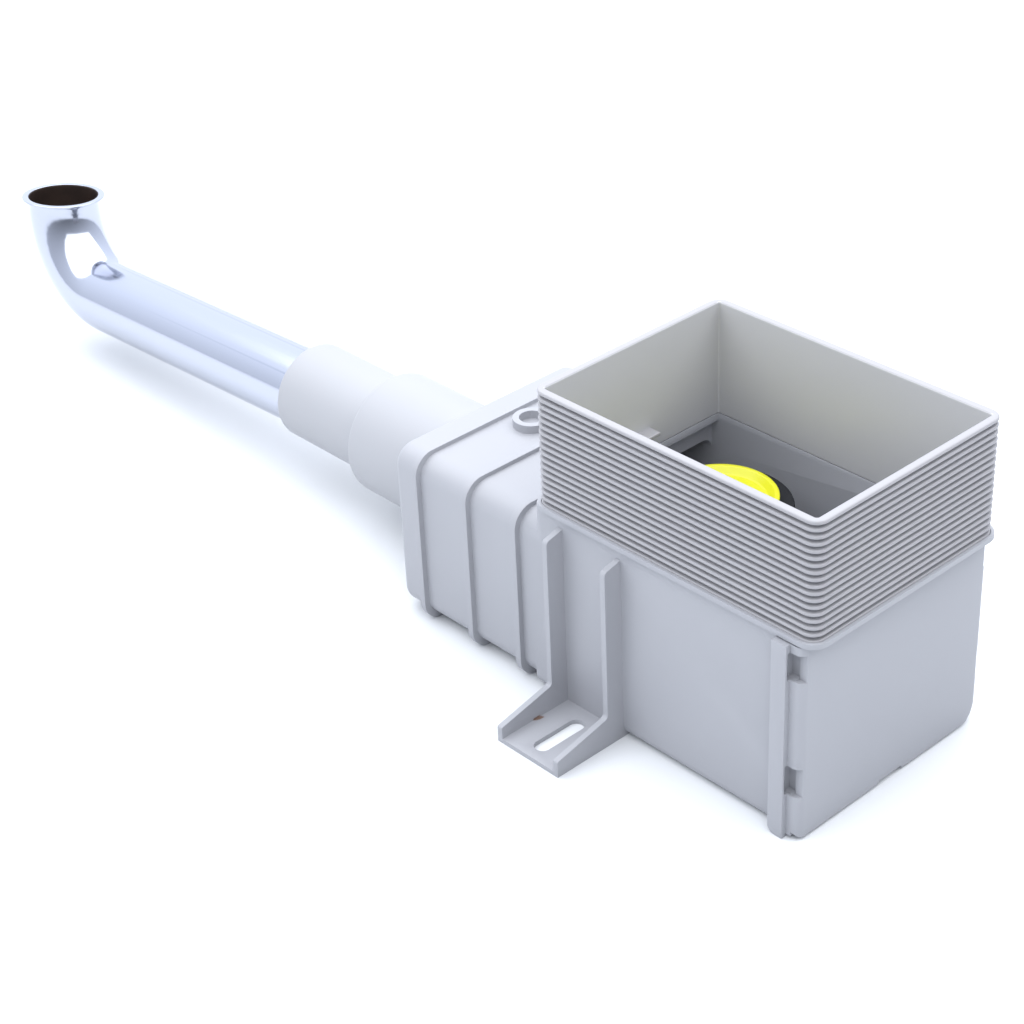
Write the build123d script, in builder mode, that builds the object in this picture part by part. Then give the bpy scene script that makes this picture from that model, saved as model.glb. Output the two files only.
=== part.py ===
from build123d import *
import os
from math import cos, radians, sin

# Concealed basin trap: a wall box with a ribbed plaster frame, a stepped spigot and a chromed tube.
# Millimetres. The origin is on the base, under the middle of the frame's opening.
# +X points along the box towards its end cap, -X along the outlet, +Z out of the wall.

# Plaster frame
opening_length = 116.6
opening_width = 84.2
frame_wall = 3.1
frame_corner = 5.0
frame_height = 44.4
groove_count = 17
groove_pitch = 2.52
groove_width = 1.0
groove_depth = 1.6
first_groove = 2.1
lug_width = 14.4
lug_reach = 5.1
lug_thickness = 1.4
lug_rise = 8.8

# Housing
wall = 3.1
end_wall = 3.0
chamber_length = 72.2
cap_setback = 3.4
chamber_base = 2.0
roof_height = 69.6
body_corner = 8.0
well_corner = 5.5
shoulder_corner = 6.0
end_rounding = 3.0
seat_height = 77.4
ledge_depth = 3.0
collar_thickness = 1.2
collar_foot = 0.9
collar_rise = 1.0
frame_clearance = 0.15
band_offsets = (13.3, 39.7, 65.0)
band_width = 2.6
band_height = 2.0
band_roof_height = 1.6
band_corner = 8.3
boss_offset = 25.3
boss_radius = 7.0
boss_bore = 4.6
boss_height = 3.2

# Feet
foot_place = -36.1
foot_width = 29.6
foot_reach = 31.5
foot_thickness = 1.8
gusset_thickness = 2.2
gusset_depth = 7.4
gusset_top = 72.4
gusset_end_height = 6.4
gusset_knee_height = 11.8
gusset_rounding = 1.8
nose_rounding = 0.8
slot_width = 6.2
slot_length = 22.0
slot_reach = 16.4

# End cap
cap_clearance = 0.2
cap_thickness = 3.2
cap_rounding = 3.2
cap_corner = 2.5
cap_base = 1.2
cap_drop = 1.6
cap_side_wall = 1.1
rail_thickness = 2.0
rail_length = 6.1
rail_setback = 7.9
rail_base = 0.1
side_clearance = 0.1
windows = ((17.4, 28.8, 2.0), (62.4, 72.7, 2.4))
window_depth = 2.3
window_setback = 3.6
pocket_depth = 2.3
notch_width = 12.0
notch_height = 1.0

# Outlet spigot
axis_height = 35.1
spigot_large_radius = 25.0
spigot_small_radius = 20.0
spigot_large_wall = 2.1
spigot_small_wall = 1.8
spigot_large_length = 55.0
spigot_small_length = 50.0
spigot_shoulder = 3.0
spigot_lip = 1.2
bead_height = 0.7
bead_width = 1.2
flange_radius = 28.5
flange_thickness = 2.5
hole_clearance = 0.15
flange_clearance = 0.1

# Chromed wall tube
tube_radius = 16.0
tube_wall = 0.7
tube_droop = 2.6
tube_roll = 6.7
tube_inner_end = 18.0
tube_run = 173.0
bend_radius = 36.0
bend_angle = 90.3
tube_tail = 3.4
tube_flange_radius = 18.5
tube_flange_thickness = 1.0
flare_length = 3.2
tube_seal_inset = 26.0
tube_seal_length = 6.0
tube_seal_gap = 0.25
seal_gap = 0.05

# Trap insert
inlet_place = -18.6
pot_radius = 25.2
pot_wall = 2.3
pot_base = 3.3
pot_top = 66.8
pot_lid = 2.2
neck_radius = 22.5
neck_bore = 20.0
neck_height = 7.0
socket_radius = 23.0
socket_reach = 41.4
socket_depth = 12.4
socket_gap = 0.15
weir_height = 44.8
weir_thickness = 2.0
weir_reach = 10.5
seat_ring_height = 3.0
seat_ring_width = 2.0
seat_ring_gap = 0.3
dip_radius = 18.0
dip_wall = 2.0
dip_end = 8.8
dip_gap = 0.3
dip_flange_radius = 19.8
dip_flange_thickness = 2.0
lid_gap = 0.1

# Branch tube and its seal
branch_radius = 20.0
branch_wall = 2.0
branch_overlap = 13.3
branch_seal_inset = 9.3
branch_seal_length = 6.0

# Inlet collar and protective cap
collar_radius = 25.0
collar_skirt_gap = 1.0
collar_lip_radius = 16.5
collar_lip_depth = 4.6
collar_roof = 1.5
collar_gap = 0.1
plug_radius = 16.2
plug_wall = 1.2
plug_depth = 6.0
dish_radius = 20.1
dish_foot = 19.3
dish_rise = 3.6
dish_rim = 1.8
dish_slope = 2.2
dish_floor_rise = 1.6
dish_thickness = 1.2
dish_gap = 0.1

# Places that follow from the sizes
frame_length = opening_length + 2 * frame_wall
frame_width = opening_width + 2 * frame_wall
rim_height = seat_height + frame_height
collar_base = seat_height - collar_foot
collar_top = seat_height + collar_rise
cap_top = seat_height - cap_drop
body_width = opening_width + 2 * wall
body_right = opening_length / 2 - cap_setback
well_left = -frame_length / 2 - wall
body_left = well_left - chamber_length
spigot_step = body_left - spigot_large_length
spigot_end = spigot_step - spigot_small_length
branch_end = body_left - branch_overlap
tube_seal_place = spigot_end + tube_seal_inset
neck_top = pot_top + neck_height
socket_end = inlet_place - socket_reach
socket_stop = socket_end + socket_depth
weir_place = inlet_place - pot_radius + pot_wall - weir_thickness
collar_height = neck_top + collar_gap + collar_roof
dish_floor = collar_height + dish_floor_rise
rail_start = body_right - rail_setback
window_start = body_right - window_setback
panel_start = body_right + cap_clearance
cap_face = panel_start + cap_thickness
half_body = body_width / 2
cap_inside = half_body + side_clearance
cap_outside = cap_inside + cap_side_wall
rail_outside = cap_outside + rail_thickness
droop = radians(tube_droop)
roll = radians(tube_roll)

os.makedirs("parts", exist_ok=True)


def save(piece, label):
    piece.part.label = label
    export_step(piece.part, f"parts/{label}.step")


def make_housing():
    """The moulded wall box with bands, feet, rim collar and pockets for its cap."""
    with BuildPart() as housing:
        # Long closed body, rounded at its four long edges
        chamber_height = roof_height - chamber_base
        with BuildSketch(Plane.YZ.offset(body_left)):
            with Locations((0, chamber_base + chamber_height / 2)):
                RectangleRounded(body_width, chamber_height, body_corner)
        extrude(amount=well_left - body_left + wall)
        fillet(housing.faces().sort_by(Axis.X)[0].edges(), end_rounding)

        # Deeper well under the frame, with rounded edges at the bottom only
        with BuildSketch(Plane.YZ.offset(well_left)) as well:
            with Locations((0, collar_base / 2)):
                Rectangle(body_width, collar_base)
            fillet(well.vertices().group_by(Axis.Y)[0], well_corner)
        extrude(amount=body_right - well_left)

        # The well's upright corners above the chamber's shoulders are round
        shoulder = roof_height - body_corner
        with BuildSketch(Plane.XY.offset(shoulder)) as corners:
            with Locations((well_left + shoulder_corner, 0)):
                Rectangle(2 * shoulder_corner, body_width)
            with Locations((well_left + 2 * shoulder_corner, 0)):
                RectangleRounded(4 * shoulder_corner, body_width, shoulder_corner, mode=Mode.SUBTRACT)
        extrude(amount=collar_base - shoulder, mode=Mode.SUBTRACT)
        with BuildSketch(Plane.YZ.offset(well_left)):
            with Locations((0, chamber_base + chamber_height / 2)):
                RectangleRounded(body_width, chamber_height, body_corner)
        extrude(amount=shoulder_corner)

        # Rim collar that the plaster frame drops into
        rim_reach = frame_clearance + collar_thickness
        with BuildSketch(Plane.XY.offset(collar_base)):
            RectangleRounded(
                frame_length + 2 * rim_reach, frame_width + 2 * rim_reach, frame_corner + rim_reach
            )
        extrude(amount=collar_top - collar_base)

        # Stiffening bands
        for band_offset in band_offsets:
            with BuildSketch(Plane.YZ.offset(body_left + band_offset - band_width / 2)):
                with Locations((0, (chamber_base - band_height + roof_height + band_roof_height) / 2)):
                    RectangleRounded(
                        body_width + 2 * band_height, chamber_height + band_height + band_roof_height,
                        band_corner,
                    )
            extrude(amount=band_width)

        # Ring boss on the roof
        with BuildSketch(Plane.XY.offset(roof_height - wall)):
            with Locations((body_left + boss_offset, 0)):
                Circle(boss_radius)
        extrude(amount=wall + boss_height)

        # Inside of the chamber and of the well
        with BuildSketch(Plane.YZ.offset(body_left + end_wall)):
            with Locations((0, (chamber_base + roof_height) / 2)):
                RectangleRounded(opening_width, chamber_height - 2 * wall, body_corner - wall)
        extrude(amount=well_left - body_left + wall, mode=Mode.SUBTRACT)
        well_floor = wall
        ledge_height = seat_height - ledge_depth
        with BuildSketch(Plane.YZ.offset(well_left + wall)) as cavity:
            with Locations((0, (well_floor + ledge_height) / 2)):
                Rectangle(opening_width, ledge_height - well_floor)
            fillet(cavity.vertices().group_by(Axis.Y)[0], well_corner - wall)
        extrude(amount=body_right - well_left, mode=Mode.SUBTRACT)
        with BuildSketch(Plane.XY.offset(well_floor + body_corner)):
            Rectangle(opening_length, opening_width)
        extrude(amount=collar_top, mode=Mode.SUBTRACT)

        # Recess for the frame's foot
        with BuildSketch(Plane.XY.offset(seat_height)):
            RectangleRounded(
                frame_length + 2 * frame_clearance, frame_width + 2 * frame_clearance,
                frame_corner + frame_clearance,
            )
        extrude(amount=collar_top, mode=Mode.SUBTRACT)

        # Hollow of the ring boss and the hole for the spigot
        with BuildSketch(Plane.XY.offset(roof_height)):
            with Locations((body_left + boss_offset, 0)):
                Circle(boss_bore)
        extrude(amount=boss_height, mode=Mode.SUBTRACT)
        with BuildSketch(Plane.YZ.offset(body_left)):
            with Locations((0, axis_height)):
                Circle(spigot_large_radius + hole_clearance)
        extrude(amount=end_wall, mode=Mode.SUBTRACT)

        # Low ring on the floor that centres the insert
        ring_bore = pot_radius + seat_ring_gap
        with BuildSketch(Plane.XY.offset(well_floor - wall / 2)):
            with Locations((inlet_place, 0)):
                Circle(ring_bore + seat_ring_width)
                Circle(ring_bore, mode=Mode.SUBTRACT)
        extrude(amount=wall / 2 + seat_ring_height)

        # Slotted foot and its two gussets, on both sides
        gusset_points = (
            (half_body - wall / 2, 0),
            (half_body + foot_reach, 0),
            (half_body + foot_reach, gusset_end_height),
            (half_body + gusset_depth, gusset_knee_height),
            (half_body + gusset_depth, gusset_top - gusset_depth / 4),
            (half_body, gusset_top),
            (half_body - wall / 2, gusset_top),
        )
        foot_start = foot_place - foot_width / 2
        for start in (foot_start, foot_start + foot_width - gusset_thickness):
            with BuildSketch(Plane.YZ.offset(start)):
                with BuildLine() as gusset:
                    Polyline(*gusset_points, close=True)
                    fillet(gusset.vertices().sort_by_distance(gusset_points[4])[0], gusset_rounding)
                    fillet(gusset.vertices().sort_by_distance(gusset_points[3])[0], gusset_rounding)
                    fillet(gusset.vertices().sort_by_distance(gusset_points[2])[0], nose_rounding)
                make_face()
                mirror(about=Plane.YZ)
            extrude(amount=gusset_thickness)
        with BuildSketch():
            foot_middle = half_body + foot_reach / 2
            with Locations((foot_place, foot_middle), (foot_place, -foot_middle)):
                Rectangle(foot_width, foot_reach)
        extrude(amount=foot_thickness)
        corner_middle = half_body - body_corner / 2
        with BuildSketch():
            with Locations((foot_place, corner_middle), (foot_place, -corner_middle)):
                Rectangle(foot_width, body_corner)
        extrude(amount=body_corner)
        with BuildSketch():
            slot_middle = half_body + slot_reach
            with Locations((foot_place, slot_middle), (foot_place, -slot_middle)):
                SlotOverall(slot_length, slot_width, rotation=90)
        extrude(amount=foot_thickness, mode=Mode.SUBTRACT)

        # Pockets at the open end, behind the cap's windows, where a blade prises the cap off
        pocket_floor = half_body - pocket_depth
        for low, high, reach in windows:
            with BuildSketch(Plane.XY.offset(low)):
                for side in (1, -1):
                    with BuildLine():
                        Polyline(
                            (window_start, side * half_body), (window_start, side * pocket_floor),
                            (body_right, side * pocket_floor), (body_right, side * half_body), close=True,
                        )
                    make_face()
            extrude(amount=high - low, mode=Mode.SUBTRACT)
    return housing


def make_end_cap():
    """The end panel, its side rails and the windows in its rounded corners."""
    with BuildPart() as cap:
        with BuildSketch(Plane.XY.offset(cap_base)) as plan:
            with BuildLine():
                Polyline(
                    (rail_start, cap_outside), (cap_face, cap_outside), (cap_face, -cap_outside),
                    (rail_start, -cap_outside), (rail_start, -cap_inside),
                    (panel_start, -cap_inside), (panel_start, cap_inside),
                    (rail_start, cap_inside), close=True,
                )
            make_face()
            fillet(plan.vertices().group_by(Axis.X)[-1], cap_rounding)
        extrude(amount=cap_top - cap_base)

        # Rounded lower corners of the panel
        with BuildSketch(Plane.YZ.offset(panel_start)) as face:
            with Locations((0, cap_top / 2)):
                Rectangle(4 * cap_outside, 2 * cap_top)
            with Locations((0, cap_base + cap_top)):
                RectangleRounded(2 * cap_outside, 2 * cap_top, cap_corner, mode=Mode.SUBTRACT)
        extrude(amount=cap_thickness, mode=Mode.SUBTRACT)

        # Rails outside the long walls
        rail_middle = rail_start + rail_length / 2
        for side in (1, -1):
            with BuildSketch(Plane.XZ.offset(-side * cap_inside)) as rail:
                with Locations((rail_middle, (rail_base + cap_top) / 2)):
                    Rectangle(rail_length, cap_top - rail_base)
                fillet(rail.vertices().group_by(Axis.Y)[0].sort_by(Axis.X)[0], cap_rounding)
            extrude(amount=-side * (rail_outside - cap_inside))

        # Windows
        window_cut = cap_inside + window_depth
        for low, high, reach in windows:
            edge = cap_outside - reach
            for side in (1, -1):
                with BuildSketch(Plane.XY.offset(low)):
                    with BuildLine():
                        Polyline(
                            (window_start, side * half_body), (window_start, side * window_cut),
                            (2 * cap_face - window_start, side * window_cut),
                            (2 * cap_face - window_start, side * edge),
                            (panel_start, side * edge), (panel_start, side * half_body), close=True,
                        )
                    make_face()
                extrude(amount=high - low, mode=Mode.SUBTRACT)

        # Finger notch in the bottom edge
        with BuildSketch(Plane.YZ.offset(panel_start)):
            with Locations((0, cap_base)):
                Rectangle(notch_width, 2 * notch_height)
        extrude(amount=cap_thickness, mode=Mode.SUBTRACT)
    return cap


def make_plaster_frame():
    """The ribbed frame, cut down to the plaster's surface on site."""
    with BuildPart() as frame:
        with BuildSketch(Plane.XY.offset(seat_height)):
            RectangleRounded(frame_length, frame_width, frame_corner)
            Rectangle(opening_length, opening_width, mode=Mode.SUBTRACT)
        extrude(amount=rim_height - seat_height)
        for index in range(groove_count):
            middle = rim_height - first_groove - index * groove_pitch
            with BuildSketch(Plane.XY.offset(middle - groove_width / 2)):
                RectangleRounded(frame_length, frame_width, frame_corner)
                RectangleRounded(
                    frame_length - 2 * groove_depth, frame_width - 2 * groove_depth,
                    frame_corner - groove_depth, mode=Mode.SUBTRACT,
                )
            extrude(amount=groove_width, mode=Mode.SUBTRACT)
        with BuildSketch(Plane.XY.offset(seat_height + lug_rise - lug_thickness)):
            with Locations((-opening_length / 2 + lug_reach / 2 - frame_wall / 4, 0)):
                Rectangle(lug_reach + frame_wall / 2, lug_width)
        extrude(amount=lug_thickness)
    return frame


def make_outlet_spigot():
    """The stepped spigot, turned about the outlet's axis."""
    inside = body_left + end_wall + flange_clearance
    large_bore = spigot_large_radius - spigot_large_wall
    small_bore = spigot_small_radius - spigot_small_wall
    step_inside = spigot_step + spigot_large_wall
    with BuildPart() as spigot:
        with BuildSketch(Plane.XZ) as profile:
            with BuildLine():
                Polyline(
                    (inside + flange_thickness, axis_height + large_bore),
                    (inside + flange_thickness, axis_height + flange_radius),
                    (inside, axis_height + flange_radius),
                    (inside, axis_height + spigot_large_radius),
                    (spigot_step, axis_height + spigot_large_radius),
                    (spigot_step, axis_height + spigot_small_radius + bead_height),
                    (spigot_step - bead_width, axis_height + spigot_small_radius + bead_height),
                    (spigot_step - bead_width, axis_height + spigot_small_radius),
                    (spigot_end, axis_height + spigot_small_radius),
                    (spigot_end, axis_height + small_bore),
                    (step_inside, axis_height + small_bore),
                    (step_inside, axis_height + large_bore),
                    close=True,
                )
            make_face()
            step_corner = (spigot_step, axis_height + spigot_large_radius)
            fillet(profile.vertices().sort_by_distance(step_corner)[0], spigot_shoulder)
            mouth_corner = (spigot_end, axis_height + spigot_small_radius)
            chamfer(profile.vertices().sort_by_distance(mouth_corner)[0], spigot_lip)
        revolve(axis=Axis((0, 0, axis_height), (1, 0, 0)))
    return spigot


def make_wall_tube():
    """The chromed tube: a drooping straight run, a bend and a flanged tail."""
    run = Vector(-cos(droop), 0, -sin(droop))
    side = Vector(0, 1, 0)
    rise = Vector(-sin(droop), 0, cos(droop)) * cos(roll) + side * sin(roll)
    pivot = Vector(tube_seal_place, 0, axis_height)
    start = pivot - run * tube_inner_end
    bend_start = pivot + run * tube_run
    turn = radians(bend_angle)
    bend_end = bend_start + rise * (bend_radius * (1 - cos(turn))) + run * (bend_radius * sin(turn))
    tail = run * cos(turn) + rise * sin(turn)
    tube_end = bend_end + tail * tube_tail
    bore = tube_radius - tube_wall
    with BuildPart() as tube:
        with BuildLine() as path:
            Line(start, bend_start)
            TangentArc(bend_start, bend_end, tangent=run)
            Line(bend_end, tube_end)
        with BuildSketch(Plane(origin=start, z_dir=run)):
            Circle(tube_radius)
            Circle(bore, mode=Mode.SUBTRACT)
        sweep(path=path.line)
        section = Plane(origin=tube_end, x_dir=run.cross(rise), z_dir=run.cross(rise).cross(tail) * -1)
        with BuildSketch(section):
            with BuildLine():
                Polyline(
                    (bore, 0), (tube_flange_radius, 0), (tube_flange_radius, tube_flange_thickness),
                    (tube_radius + tube_wall, tube_flange_thickness + tube_wall),
                    (tube_radius, flare_length), (bore, flare_length), close=True,
                )
            make_face()
        revolve(axis=Axis(tube_end, tail))
    return tube


def make_ring(start, length, inner, outer, height):
    """A plain ring about the outlet's axis or one parallel to it."""
    with BuildPart() as ring:
        with BuildSketch(Plane.YZ.offset(start)):
            with Locations((0, height)):
                Circle(outer)
                Circle(inner, mode=Mode.SUBTRACT)
        extrude(amount=length)
    return ring


def make_trap_pot():
    """The removable insert: a pot with a neck, a side socket and a weir before the outlet."""
    bore = pot_radius - pot_wall
    with BuildPart() as pot:
        with BuildSketch(Plane.XY.offset(pot_base)):
            with Locations((inlet_place, 0)):
                Circle(pot_radius)
        extrude(amount=pot_top - pot_base)
        with BuildSketch(Plane.XY.offset(pot_top)):
            with Locations((inlet_place, 0)):
                Circle(neck_radius)
                Circle(neck_bore, mode=Mode.SUBTRACT)
        extrude(amount=neck_top - pot_top)
        with BuildSketch(Plane.YZ.offset(socket_end)):
            with Locations((0, axis_height)):
                Circle(socket_radius)
        extrude(amount=inlet_place - socket_end)
        with BuildSketch(Plane.XY.offset(pot_base + pot_wall)):
            with Locations((inlet_place, 0)):
                Circle(bore)
        extrude(amount=pot_top - pot_lid - pot_base - pot_wall, mode=Mode.SUBTRACT)
        with BuildSketch(Plane.YZ.offset(socket_end)):
            with Locations((0, axis_height)):
                Circle(branch_radius + socket_gap)
        extrude(amount=socket_stop - socket_end, mode=Mode.SUBTRACT)
        with BuildSketch(Plane.YZ.offset(socket_stop)):
            with Locations((0, axis_height)):
                Circle(branch_radius - branch_wall)
        extrude(amount=weir_place - socket_stop, mode=Mode.SUBTRACT)

        # The water leaves over a weir, through the upper part of the outlet's circle
        with BuildSketch(Plane.YZ.offset(weir_place)):
            with Locations((0, axis_height)):
                Circle(branch_radius - branch_wall)
            with Locations((0, weir_height - pot_radius)):
                Rectangle(2 * pot_radius, 2 * pot_radius, mode=Mode.SUBTRACT)
        extrude(amount=weir_reach, mode=Mode.SUBTRACT)
        with BuildSketch(Plane.XY.offset(pot_top - pot_lid)):
            with Locations((inlet_place, 0)):
                Circle(dip_radius + dip_gap)
        extrude(amount=pot_lid, mode=Mode.SUBTRACT)
    return pot


def make_dip_tube():
    """The tube that dips into the water, hung by its flange on the pot's lid."""
    flange_base = pot_top + lid_gap
    with BuildPart() as dip:
        with BuildSketch(Plane.XY.offset(dip_end)):
            with Locations((inlet_place, 0)):
                Circle(dip_radius)
        extrude(amount=flange_base + dip_flange_thickness - dip_end)
        with BuildSketch(Plane.XY.offset(flange_base)):
            with Locations((inlet_place, 0)):
                Circle(dip_flange_radius)
        extrude(amount=dip_flange_thickness)
        with BuildSketch(Plane.XY.offset(dip_end)):
            with Locations((inlet_place, 0)):
                Circle(dip_radius - dip_wall)
        extrude(amount=flange_base + dip_flange_thickness - dip_end, mode=Mode.SUBTRACT)
    return dip


def make_inlet_collar():
    """The rubber collar over the neck, with a lip that seals on a 32 mm tube."""
    with BuildPart() as collar:
        with BuildSketch(Plane.XZ):
            with BuildLine():
                Polyline(
                    (inlet_place + neck_radius + collar_gap, pot_top + collar_skirt_gap),
                    (inlet_place + collar_radius, pot_top + collar_skirt_gap),
                    (inlet_place + collar_radius, collar_height),
                    (inlet_place + collar_lip_radius, collar_height),
                    (inlet_place + collar_lip_radius, collar_height - collar_lip_depth),
                    (inlet_place + neck_bore - collar_gap, collar_height - collar_lip_depth),
                    (inlet_place + neck_bore - collar_gap, collar_height - collar_roof),
                    (inlet_place + neck_radius + collar_gap, collar_height - collar_roof),
                    close=True,
                )
            make_face()
        revolve(axis=Axis((inlet_place, 0, 0), (0, 0, 1)))
    return collar


def make_protective_cap():
    """The dished plug that keeps plaster out of the inlet."""
    foot = collar_height + dish_gap
    with BuildPart() as plug:
        with BuildSketch(Plane.XZ):
            with BuildLine():
                Polyline(
                    (inlet_place, dish_floor),
                    (inlet_place + dish_radius - dish_rim - dish_slope, dish_floor),
                    (inlet_place + dish_radius - dish_rim, collar_height + dish_rise),
                    (inlet_place + dish_radius, collar_height + dish_rise),
                    (inlet_place + dish_foot, foot),
                    (inlet_place + plug_radius, foot),
                    (inlet_place + plug_radius, foot - plug_depth),
                    (inlet_place + plug_radius - plug_wall, foot - plug_depth),
                    (inlet_place + plug_radius - plug_wall, dish_floor - dish_thickness),
                    (inlet_place, dish_floor - dish_thickness),
                    close=True,
                )
            make_face()
        revolve(axis=Axis((inlet_place, 0, 0), (0, 0, 1)))
    return plug


save(make_housing(), "housing")
save(make_end_cap(), "end_cap")
save(make_plaster_frame(), "plaster_frame")
save(make_outlet_spigot(), "outlet_spigot")
save(make_wall_tube(), "wall_tube")
save(make_trap_pot(), "trap_pot")
save(make_dip_tube(), "dip_tube")
save(make_inlet_collar(), "inlet_collar")
save(make_protective_cap(), "protective_cap")

# Plain rings: the branch tube in its socket, and the two seals inside the spigot
branch_length = socket_stop - socket_gap - branch_end
branch_bore = branch_radius - branch_wall
save(make_ring(branch_end, branch_length, branch_bore, branch_radius, axis_height), "branch_tube")
branch_seal_start = body_left - branch_seal_inset
large_seal = spigot_large_radius - spigot_large_wall - seal_gap
branch_hold = branch_radius + seal_gap
save(make_ring(branch_seal_start, branch_seal_length, branch_hold, large_seal, axis_height), "branch_seal")
tube_seal_start = tube_seal_place - tube_seal_length / 2
small_seal = spigot_small_radius - spigot_small_wall - seal_gap
tube_hold = tube_radius + tube_seal_gap
save(make_ring(tube_seal_start, tube_seal_length, tube_hold, small_seal, axis_height), "tube_seal")
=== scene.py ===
# %% [markdown]
# # A concealed basin trap, dressed for its photograph
#
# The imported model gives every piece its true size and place. This lesson adds what the eye needs: moulded
# corners that catch the light, a ribbed frame, a polished tube and a finish on each surface. The part's lengths
# are typed in millimetres and turned to metres, because Blender works in metres. The studio's are in metres.

from math import cos, pi, radians, sin

import bmesh
import bpy
from mathutils import Matrix, Vector


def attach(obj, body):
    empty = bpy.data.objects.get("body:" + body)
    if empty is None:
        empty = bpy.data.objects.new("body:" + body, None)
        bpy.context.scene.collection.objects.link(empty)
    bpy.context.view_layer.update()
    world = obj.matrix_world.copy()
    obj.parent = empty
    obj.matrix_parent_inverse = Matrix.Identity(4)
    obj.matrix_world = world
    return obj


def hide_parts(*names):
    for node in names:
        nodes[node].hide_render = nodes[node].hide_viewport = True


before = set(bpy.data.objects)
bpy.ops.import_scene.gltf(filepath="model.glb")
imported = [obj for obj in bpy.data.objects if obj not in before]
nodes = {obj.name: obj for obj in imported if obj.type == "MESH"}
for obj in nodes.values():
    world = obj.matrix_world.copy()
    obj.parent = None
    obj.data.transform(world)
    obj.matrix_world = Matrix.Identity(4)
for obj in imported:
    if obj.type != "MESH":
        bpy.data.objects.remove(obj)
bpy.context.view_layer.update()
print("CAD nodes:", ", ".join(sorted(nodes)))

MM = 0.001
ROOT = "root"


# %% [markdown]
# ## Two small helpers
#
# A colour picked from a screen is an sRGB value, and a shader wants a linear one. One function turns one into
# the other. Another adds any kind of node, gives it its settings and joins it to what feeds it, so the trees
# below read as short lists.


# %% Colour and node helpers
def linear(hex_colour):
    """An sRGB hex colour as linear red, green, blue and alpha."""
    parts = [int(hex_colour[i:i + 2], 16) / 255 for i in (1, 3, 5)]
    return [p / 12.92 if p <= 0.04045 else ((p + 0.055) / 1.055) ** 2.4 for p in parts] + [1.0]


def add(tree, kind, links=None, **settings):
    """A new node. links maps an input's name or number to the output that feeds it."""
    node = tree.nodes.new(kind)
    for key, value in settings.items():
        if hasattr(node, key):
            setattr(node, key, value)
        else:
            name = key.replace("_", " ")
            socket = node.inputs[int(name[2:])] if name.startswith("in") else node.inputs[name]
            socket.default_value = value
    for key, output in (links or {}).items():
        tree.links.new(output, node.inputs[key])
    return node


print("mid grey is", [round(c, 3) for c in linear("#808080")])

# %% [markdown]
# ## The camera
#
# The camera was placed by matching the frame's four rim corners and its groove lines in the photograph. It
# looks down at about 32 degrees from the near right-hand corner, and it leans by almost three degrees. The long
# lens keeps the far edges nearly parallel, as they are in the photograph.

# %% Camera
SENSOR_WIDTH_MM, LENS_MM = 36.0, 80.45
camera_place = Vector((425.16, -486.22, 482.80)) * MM
camera_right = Vector((0.681009, 0.731096, -0.041527))
camera_up = Vector((-0.362746, 0.386071, 0.848153))
camera_back = camera_right.cross(camera_up)
camera_data = bpy.data.cameras.new("photo_camera")
camera_data.sensor_width = SENSOR_WIDTH_MM
camera_data.lens = LENS_MM
camera = bpy.data.objects.new("photo_camera", camera_data)
turn = Matrix((camera_right, camera_up, camera_back)).transposed()
camera.matrix_world = Matrix.Translation(camera_place) @ turn.to_4x4()
bpy.context.scene.collection.objects.link(camera)
bpy.context.scene.camera = camera
print("lens", camera_data.lens, "mm")

# %% [markdown]
# ## The floor
#
# Product shots like this one are taken on white. The floor is a flat, matt, pale sheet, so large that its edge
# is far out of the photograph's view. It throws light back up, which fills the undersides. Seen from low down,
# it ends in a faint line against the pale surroundings.

# %% Pale floor
FLOOR_HALF = 30.0
floor_corners = [(x * FLOOR_HALF, y * FLOOR_HALF, 0) for x, y in ((-1, -1), (1, -1), (1, 1), (-1, 1))]
floor_mesh = bpy.data.meshes.new("floor")
floor_mesh.from_pydata(floor_corners, [], [(0, 1, 2, 3)])
floor = bpy.data.objects.new("floor", floor_mesh)
bpy.context.scene.collection.objects.link(floor)
floor_finish = bpy.data.materials.new("pale_studio_floor")
floor_finish.use_nodes = True
floor_shader = floor_finish.node_tree.nodes["Principled BSDF"]
floor_shader.inputs["Base Color"].default_value = linear("#D8DADC")
floor_shader.inputs["Roughness"].default_value = 0.9
floor_mesh.materials.append(floor_finish)
print("floor:", 2 * FLOOR_HALF, "m wide")

# %% [markdown]
# ## One broad light
#
# A softbox is a lamp behind a stretched white sheet. This one is over four metres wide and hangs 1.7 m above
# the floor, so its light falls from nearly everywhere overhead: the tops turn almost white and the shadows stay
# soft. Blender's area light does the same without the sheet.

# %% Softbox
SOFTBOX_SIDE, SOFTBOX_WATTS = 4.2, 104.0
SOFTBOX_PLACE = (-0.1, 0.0, 1.7)
softbox_data = bpy.data.lights.new("softbox", "AREA")
softbox_data.shape = "RECTANGLE"
softbox_data.size = SOFTBOX_SIDE
softbox_data.size_y = SOFTBOX_SIDE
softbox_data.energy = SOFTBOX_WATTS
softbox = bpy.data.objects.new("softbox", softbox_data)
softbox.location = SOFTBOX_PLACE
bpy.context.scene.collection.objects.link(softbox)
print("softbox", softbox_data.size, "by", softbox_data.size_y, "m")

# %% [markdown]
# ## Pale walls round the studio
#
# The walls light what the softbox misses. They are brightest overhead and on the outlet's side, and they fade
# to nothing on the camera's side, so that the sides which face the camera stay a cool grey. The world's
# strength is graded along one direction for this: the dot product of that direction and the line of sight runs
# from -1 at the bright end to 1 at the dim end.

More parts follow.
